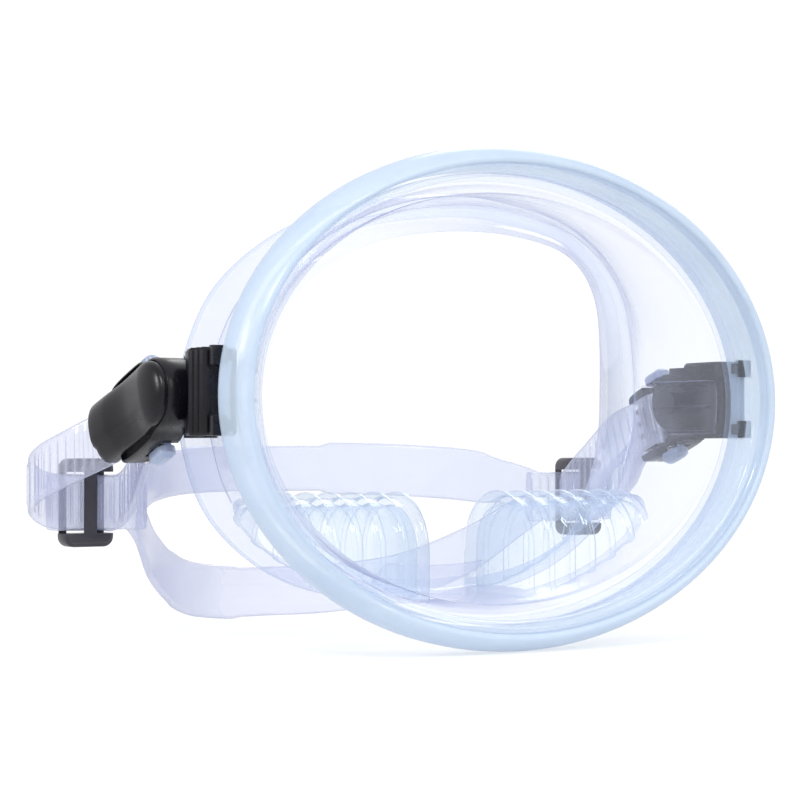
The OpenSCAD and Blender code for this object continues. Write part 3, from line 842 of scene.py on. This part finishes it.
def build_frame(word, k):
    """Buckle frame: a disc on the pivot and two cheeks, notched for the buttons."""
    d = 0.35
    body = stack(f"buckle_frame_{word}_moulding", [
        (buckle_edge(FRAME_END, CHEEK_OUT, d), FRAME_IN),
        (buckle_edge(FRAME_END, CHEEK_OUT), FRAME_IN + d),
        (buckle_edge(FRAME_END, CHEEK_OUT), FRAME_OUT - 0.02)], k)
    tools = [box("tool", (FRAME_IN - 1, SLOT_FROM, -CHEEK_IN), (FRAME_OUT + 1, 40, CHEEK_IN),
                 k, buckle_points)]
    for low, high in ((CHEEK_IN + 0.7, 12), (-12, -CHEEK_IN - 0.7)):
        tools.append(box("tool", (FRAME_IN - 1, BUTTON_AT - BUTTON_HALF - 0.3, low),
                         (FRAME_OUT - 0.25, BUTTON_AT + BUTTON_HALF + 0.3, high), k, buckle_points))
    outline = arc((0, 0), 2.08, 0, 350, 36)
    tools.append(stack("tool", [(outline, FRAME_IN - 1), (outline, FRAME_OUT + 1)], k))
    combine(body, "DIFFERENCE", *tools)
    soften(body, 0.18, 1)
    finish_piece(body, material("buckle_plastic"), f"{word}_buckle", "buckle_plastic",
                 f"buckle_frame_{word}")


INNER_PARTS = {
    "cover_screw": "stainless_steel", "strap_roller": "stainless_steel",
    "roller_pin": "stainless_steel", "pawl_pin": "stainless_steel", "pawl": "buckle_plastic",
}


def build_buckles():
    """Both buckles, with the pins, screws, rollers and pawls inside them."""
    for word, k in SIDES.items():
        build_cover(word, k)
        build_frame(word, k)
        for node, finish in INNER_PARTS.items():
            dress(frame["nodes"][f"{node}_{word}"].data, material(finish))


# ---- Buttons ----

def button_edge(drawn_in):
    """Oval outline (x, a) of a button, with round ends."""
    r = BUTTON_W / 2 - drawn_in
    run = BUTTON_HALF - BUTTON_W / 2
    ends = np.vstack([arc((0, run), r, 0, 180, 13), arc((0, -run), r, 180, 360, 13)])
    return ends + (BUTTON_X, BUTTON_AT)


def round_run(radius, middle, depths, flip):
    """Round sections about (BUTTON_X, middle) at depths across a buckle."""
    turn = np.radians(np.arange(0, 360, 15))
    return [buckle_points([(BUTTON_X + radius * math.cos(t), middle + radius * math.sin(t),
                            n * flip) for t in turn]) for n in depths]


def build_buttons():
    """Faceted release buttons on the cheeks, each with its guide stem."""
    levels = [(0.15, BUTTON_IN), (0.0, BUTTON_IN + 0.15), (0.0, BUTTON_OUT - 1.1),
              (0.35, BUTTON_OUT - 0.75), (1.05, BUTTON_OUT - 0.2), (1.5, BUTTON_OUT)]
    for word, k in SIDES.items():
        for level, flip in (("upper", 1), ("lower", -1)):
            count = len(button_edge(0))
            rings = [np.column_stack([button_edge(d), np.full(count, n * flip)])
                     for d, n in levels]
            sections = [buckle_points(ring) for ring in rings]
            name = f"{level}_button_{word}"
            button = tube(f"{name}_cap", sections, k)
            stem = round_run(STEM_R, STEM_AT, (STEM_END, BUTTON_IN + 0.5), flip)
            combine(button, "UNION", tube("stem", stem, k))
            seat = round_run(1.85, SPRING_AT, (BUTTON_IN - 1, SPRING_SEAT), flip)
            combine(button, "DIFFERENCE", tube("seat", seat, k))
            finish_piece(button, material("button_plastic"), f"{word}_{level}_button",
                         "button_plastic", name, crease=24)


def build_springs():
    """Coil spring under each button."""
    radius, wire, turns = 1.5, 0.17, 4
    low, high, slack = 8.6, 11.41, 0.12
    steps = 20 * turns
    round_wire = np.radians(np.arange(0, 360, 45))
    for word, k in SIDES.items():
        for level, flip in (("upper", 1), ("lower", -1)):
            sections = []
            for i in range(steps + 1):
                t = 2 * math.pi * i / 20
                across = np.array([math.cos(t), math.sin(t), 0])
                middle = across * radius + (0, 0, low + (high - low) * i / steps)
                ring = np.array([
                    middle + wire * (across * math.cos(u) + np.array([0, 0, math.sin(u)]))
                    for u in round_wire])
                sections.append(buckle_points(np.column_stack([
                    BUTTON_X + ring[:, 0], SPRING_AT + ring[:, 1], ring[:, 2] * flip])))
            name = f"{level}_spring_{word}"
            coil = tube(f"{name}_coil", sections, k)
            finish_piece(coil, material("stainless_steel"), f"{word}_buckle", "steel", name,
                         crease=60)
            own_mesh(coil)


# ---- Keepers ----

def rounded_rectangle(half_w, half_h, radius, count=7):
    """Outline (x, z), anticlockwise."""
    corners = [(half_w - radius, half_h - radius, 0), (radius - half_w, half_h - radius, 90),
               (radius - half_w, radius - half_h, 180), (half_w - radius, radius - half_h, 270)]
    return np.vstack([arc((x, z), radius, start, start + 90, count) for x, z, start in corners])


def build_keepers():
    """Keeper: a middle bar in front of the strap's two layers and two side bars behind."""
    half_t = KEEPER_T / 2
    slot_t, slot_h, side_bar = STRAP_T + 0.75, (TAIL_W + 1.4) / 2, 2.6
    levels = [(1.5, -half_t), (1.0, -half_t + 0.25), (0.9, -half_t + 1.0), (0.1, -half_t + 1.3),
              (0.0, -half_t + 1.6), (0.0, half_t - 1.6), (0.1, half_t - 1.3),
              (0.7, half_t - 0.9), (0.8, half_t - 0.3), (1.2, half_t)]
    for word, k in SIDES.items():
        sections = []
        for drawn_in, y in levels:
            edge = rounded_rectangle(KEEPER_LEN / 2 - drawn_in, KEEPER_H / 2 - drawn_in,
                                     2.6 - drawn_in)
            sections.append(np.column_stack([edge[:, 0], np.full(len(edge), y), edge[:, 1]])
                            + KEEPER_AT)
        keeper = tube(f"keeper_{word}_moulding", sections, k)

        def window(x0, x1, y0, y1):
            return box("tool", KEEPER_AT + (x0, y0, -slot_h), KEEPER_AT + (x1, y1, slot_h), k)

        reach = KEEPER_LEN
        combine(keeper, "DIFFERENCE",
                window(-reach, reach, -slot_t, slot_t),
                window(1.6, reach, -KEEPER_T, 0), window(-reach, -1.6, -KEEPER_T, 0),
                window(side_bar - KEEPER_LEN / 2, KEEPER_LEN / 2 - side_bar, 0, KEEPER_T))
        soften(keeper, 0.35)
        finish_piece(keeper, material("keeper_plastic"), f"{word}_keeper", "keeper_plastic",
                     f"keeper_{word}")


# ---- Strap ----

def tail_route():
    """Route of a ribbed end: keeper, loop, round the buckle's roller and back to the keeper."""
    def buckle_point(x, a):
        return tuple(buckle_points([(x, a, 0)])[0])

    over = [buckle_point(ROLLER_X + WRAP_R, a) for a in (COVER_END, 19, ROLLER_AT)]
    wrap = [buckle_point(ROLLER_X + WRAP_R * math.cos(t), ROLLER_AT - WRAP_R * math.sin(t))
            for t in np.radians(np.arange(30, 151, 30))]
    back = [buckle_point(ROLLER_X - WRAP_R, a) for a in (ROLLER_AT, 19)]
    return STRAP_LOOP + over + wrap + back + STRAP_TAIL


def strap_frames(route, spacing):
    """Centres, travelled lengths, outward normals and width directions along a route."""
    fine = np.linspace(0, len(route) - 1, 60 * len(route))
    line = along(route, fine)
    step = np.linalg.norm(np.diff(line[:, :3], axis=0), axis=1)
    travelled = np.concatenate([[0], np.cumsum(step)])
    count = int(travelled[-1] / spacing)
    at = np.linspace(0, travelled[-1], count)
    t = np.interp(at, travelled, fine)
    centre = along(route, t)
    ahead = along(route, np.minimum(t + 0.05, len(route) - 1))[:, :3]
    behind = along(route, np.maximum(t - 0.05, 0))[:, :3]
    lean = SLOPE * np.clip((66 - centre[:, 1]) / 12, 0, 1)
    across = np.column_stack([np.zeros(count), np.sin(lean), np.cos(lean)])
    out = np.cross(ahead - behind, across)
    out /= np.linalg.norm(out, axis=1)[:, None]
    return centre, at, out, across


def strap_sections(route, spacing, width, relief):
    """Rounded sections: width and relief say, for a length travelled, how wide the strap is
    and how far its faces stand out at each place across it."""
    centre, at, out, across = strap_frames(route, spacing)
    half_t = STRAP_T / 2
    round_end = arc((0, 0), half_t, -90, 90, 7)
    inner = np.linspace(-1, 1, 15)
    sections = []
    for c, s, o, w in zip(centre, at, out, across):
        half = width(s, c) / 2 - half_t
        top = [(u * half, half_t + relief(s, u)) for u in inner[::-1]]
        low = [(u * half, -half_t - relief(s, u)) for u in inner]
        right = [(half + p[0], p[1]) for p in round_end[1:-1]]
        left = [(-half - p[0], -p[1]) for p in round_end[1:-1]]
        ring = low + right + top + left
        sections.append(np.array([c[:3] + w * a + o * b for a, b in ring]))
    return sections


def rib_relief(s, u):
    """Rounded ribs across the strap, with a smooth margin along each edge."""
    pitch, height = sizes().strap_pitch, sizes().strap_rib
    wave = 0.5 + 0.5 * math.tanh(3.5 * math.cos(2 * math.pi * s / pitch))
    margin = 1 - float(smoothstep(0.74, 0.84, abs(u)))
    return height * (wave - 0.5) * margin


def both_sides(half):
    """A route from one side's end to the middle, carried on to the other side."""
    return half + [(-p[0], *p[1:]) for p in half[-2::-1]]


def build_strap():
    """Split head strap: two smooth bands, and a ribbed end on each side."""
    def band(name, route, wide_from, wide_to, extra):
        def width(s, c):
            swell = smoothstep(wide_from - 4, wide_from, c[0]) * (
                1 - smoothstep(wide_to, wide_to + 4, c[0]))
            return c[3] + extra * swell

        def relief(s, u):
            return 0.12 * float(smoothstep(0.82, 0.97, abs(u)))

        return tube(name, strap_sections(both_sides(route), 1.2, width, relief))

    strap = band("head_strap_moulding", UPPER_BAND, 18, 52, 2.0)
    lower = band("lower_band", LOWER_BAND, -39, -14, 1.0)
    ends = [tube("strap_end", strap_sections(tail_route(), 0.23, lambda s, c: TAIL_W, rib_relief),
                 k) for k in SIDES.values()]
    combine(strap, "UNION", lower, *ends)
    finish_piece(strap, material("strap_silicone"), "strap", "strap_silicone", "head_strap",
                 crease=55)


# ---- Stage ----

CAMERA_FROM_LENS = (-301.65, -429.18, -13.18)
LOOK = Vector((0.52976, 0.84779, 0.02443))
FOCAL = 98.4


def build_camera():
    """The camera, placed from the lens centre."""
    data = bpy.data.cameras.new("camera")
    data.lens = FOCAL
    data.sensor_width = 36
    data.clip_start, data.clip_end = 0.01, 50
    camera = bpy.data.objects.new("camera", data)
    bpy.context.scene.collection.objects.link(camera)
    look = LOOK.normalized()
    right = look.cross(Vector((0, 0, 1))).normalized()
    up = right.cross(look)
    turn = Matrix((right, up, -look)).transposed()
    camera.matrix_world = Matrix.Translation(Vector(to_frame([CAMERA_FROM_LENS])[0])) @ turn.to_4x4()
    bpy.context.scene.camera = camera


def build_light(name, place, target, width, height, power):
    """A soft box at a place, turned to its target."""
    data = bpy.data.lights.new(name, "AREA")
    data.shape = "RECTANGLE"
    data.size, data.size_y = width, height
    data.energy = power
    lamp = bpy.data.objects.new(name, data)
    bpy.context.scene.collection.objects.link(lamp)
    lamp.location = place
    lamp.rotation_euler = (Vector(target) - Vector(place)).to_track_quat("-Z", "Y").to_euler()


def build_surround():
    """White to the right and below, dimmer overhead and to the left, so that shiny faces have
    a shape."""
    world = bpy.data.worlds.new("surround")
    world.use_nodes = True
    tree = world.node_tree

    def fade(value, start, end, low, high):
        made = tree.nodes.new("ShaderNodeMapRange")
        made.interpolation_type = "SMOOTHSTEP"
        tree.links.new(value, made.inputs["Value"])
        for name, number in (("From Min", start), ("From Max", end), ("To Min", low),
                             ("To Max", high)):
            made.inputs[name].default_value = number
        return made.outputs["Result"]

    toward = tree.nodes.new("ShaderNodeTexCoord")
    parts = tree.nodes.new("ShaderNodeSeparateXYZ")
    tree.links.new(toward.outputs["Generated"], parts.inputs[0])
    overhead = fade(parts.outputs["Z"], 0.30, 0.75, 1.08, 0.92)
    left = fade(parts.outputs["X"], -0.55, 0.2, 0.75, 1.0)
    both = tree.nodes.new("ShaderNodeMath")
    both.operation = "MULTIPLY"
    tree.links.new(overhead, both.inputs[0])
    tree.links.new(left, both.inputs[1])
    ground = tree.nodes["Background"]
    ground.inputs["Color"].default_value = (0.99, 0.993, 1.0, 1)
    tree.links.new(both.outputs[0], ground.inputs["Strength"])
    return world


def build_stage():
    """Pale round floor, a white surround, four soft boxes and the camera."""
    scene = bpy.context.scene
    scene.view_settings.view_transform = "Standard"
    scene.cycles.transparent_max_bounces = 64
    count, radius = 96, 6.0
    turns = np.arange(count) * 2 * math.pi / count
    rings = np.vstack([np.column_stack([r * np.cos(turns), r * np.sin(turns), np.zeros(count)])
                       for r in (radius, radius * 0.5, radius * 0.1)])
    faces = grid_faces(3, count, False, True) + [tuple(range(2 * count, 3 * count))]
    mesh = bpy.data.meshes.new("floor")
    mesh.from_pydata(rings.tolist(), [], faces)
    mesh.materials.append(material("studio_paper"))
    floor = bpy.data.objects.new("floor", mesh)
    scene.collection.objects.link(floor)
    scene.world = build_surround()
    build_light("key_softbox", (-0.75, -0.75, 0.9), (0, 0, 0.05), 0.4, 0.3, 5)
    build_light("side_softbox", (-1.0, 0.0, 0.5), (-0.05, 0, 0.06), 0.25, 0.25, 3)
    build_light("fill_softbox", (0.3, -1.3, 0.9), (0, 0, 0.05), 0.9, 0.6, 5)
    build_light("rim_softbox", (1.0, 0.9, 1.1), (0, 0, 0.05), 0.8, 0.8, 5)
    build_camera()


# ---- Operators and panel ----

class MASK_OT_stage(bpy.types.Operator):
    """Make the floor, the lights and the camera"""
    bl_idname = "mask.stage"
    bl_label = "Stage"

    def execute(self, context):
        build_stage()
        return {"FINISHED"}


class MASK_OT_lens(bpy.types.Operator):
    """Make the oval glass"""
    bl_idname = "mask.lens"
    bl_label = "Lens"

    def execute(self, context):
        build_lens()
        return {"FINISHED"}


class MASK_OT_rings(bpy.types.Operator):
    """Make the lens ring and the retaining ring"""
    bl_idname = "mask.rings"
    bl_label = "Rings"

    def execute(self, context):
        build_rings()
        return {"FINISHED"}


class MASK_OT_skirt(bpy.types.Operator):
    """Make the clear silicone skirt"""
    bl_idname = "mask.skirt"
    bl_label = "Skirt"

    def execute(self, context):
        build_skirt()
        return {"FINISHED"}


class MASK_OT_finger_pockets(bpy.types.Operator):
    """Make the ribbed pockets"""
    bl_idname = "mask.finger_pockets"
    bl_label = "Finger pockets"

    def execute(self, context):
        build_finger_pockets()
        return {"FINISHED"}


class MASK_OT_brackets(bpy.types.Operator):
    """Make the brackets that hold the buckles"""
    bl_idname = "mask.brackets"
    bl_label = "Brackets"

    def execute(self, context):
        build_brackets()
        return {"FINISHED"}


class MASK_OT_buckles(bpy.types.Operator):
    """Make the buckle covers and frames"""
    bl_idname = "mask.buckles"
    bl_label = "Buckles"

    def execute(self, context):
        build_buckles()
        return {"FINISHED"}


class MASK_OT_buttons(bpy.types.Operator):
    """Make the release buttons"""
    bl_idname = "mask.buttons"
    bl_label = "Buttons"

    def execute(self, context):
        build_buttons()
        return {"FINISHED"}


class MASK_OT_springs(bpy.types.Operator):
    """Make the springs under the buttons"""
    bl_idname = "mask.springs"
    bl_label = "Springs"

    def execute(self, context):
        build_springs()
        return {"FINISHED"}


class MASK_OT_keepers(bpy.types.Operator):
    """Make the strap keepers"""
    bl_idname = "mask.keepers"
    bl_label = "Keepers"

    def execute(self, context):
        build_keepers()
        return {"FINISHED"}


class MASK_OT_strap(bpy.types.Operator):
    """Make the split head strap"""
    bl_idname = "mask.strap"
    bl_label = "Strap"

    def execute(self, context):
        build_strap()
        return {"FINISHED"}


# In the order that they run
OPERATORS = [
    MASK_OT_stage,
    MASK_OT_lens,
    MASK_OT_rings,
    MASK_OT_skirt,
    MASK_OT_finger_pockets,
    MASK_OT_brackets,
    MASK_OT_buckles,
    MASK_OT_buttons,
    MASK_OT_springs,
    MASK_OT_keepers,
    MASK_OT_strap,
]


class MASK_PT_pieces(bpy.types.Panel):
    """Sizes, colours and a button for each group of pieces"""
    bl_label = "Diving mask"
    bl_idname = "MASK_PT_pieces"
    bl_space_type = "VIEW_3D"
    bl_region_type = "UI"
    bl_category = "Mask"

    def draw(self, context):
        layout = self.layout
        for settings in (context.scene.mask_sizes, context.scene.mask_colours):
            for name in settings.__annotations__:
                layout.prop(settings, name)
        for step in OPERATORS:
            layout.operator(step.bl_idname)


CLASSES = [MaskSizes, MaskColours, *OPERATORS, MASK_PT_pieces]


def register():
    for cls in CLASSES:
        bpy.utils.register_class(cls)
    bpy.types.Scene.mask_sizes = PointerProperty(type=MaskSizes)
    bpy.types.Scene.mask_colours = PointerProperty(type=MaskColours)


def unregister():
    del bpy.types.Scene.mask_colours
    del bpy.types.Scene.mask_sizes
    for cls in reversed(CLASSES):
        bpy.utils.unregister_class(cls)


def main():
    """Makes every piece in turn."""
    register()
    for step in OPERATORS:
        getattr(bpy.ops.mask, step.bl_idname.split(".")[1])()


if __name__ == "__main__":
    main()
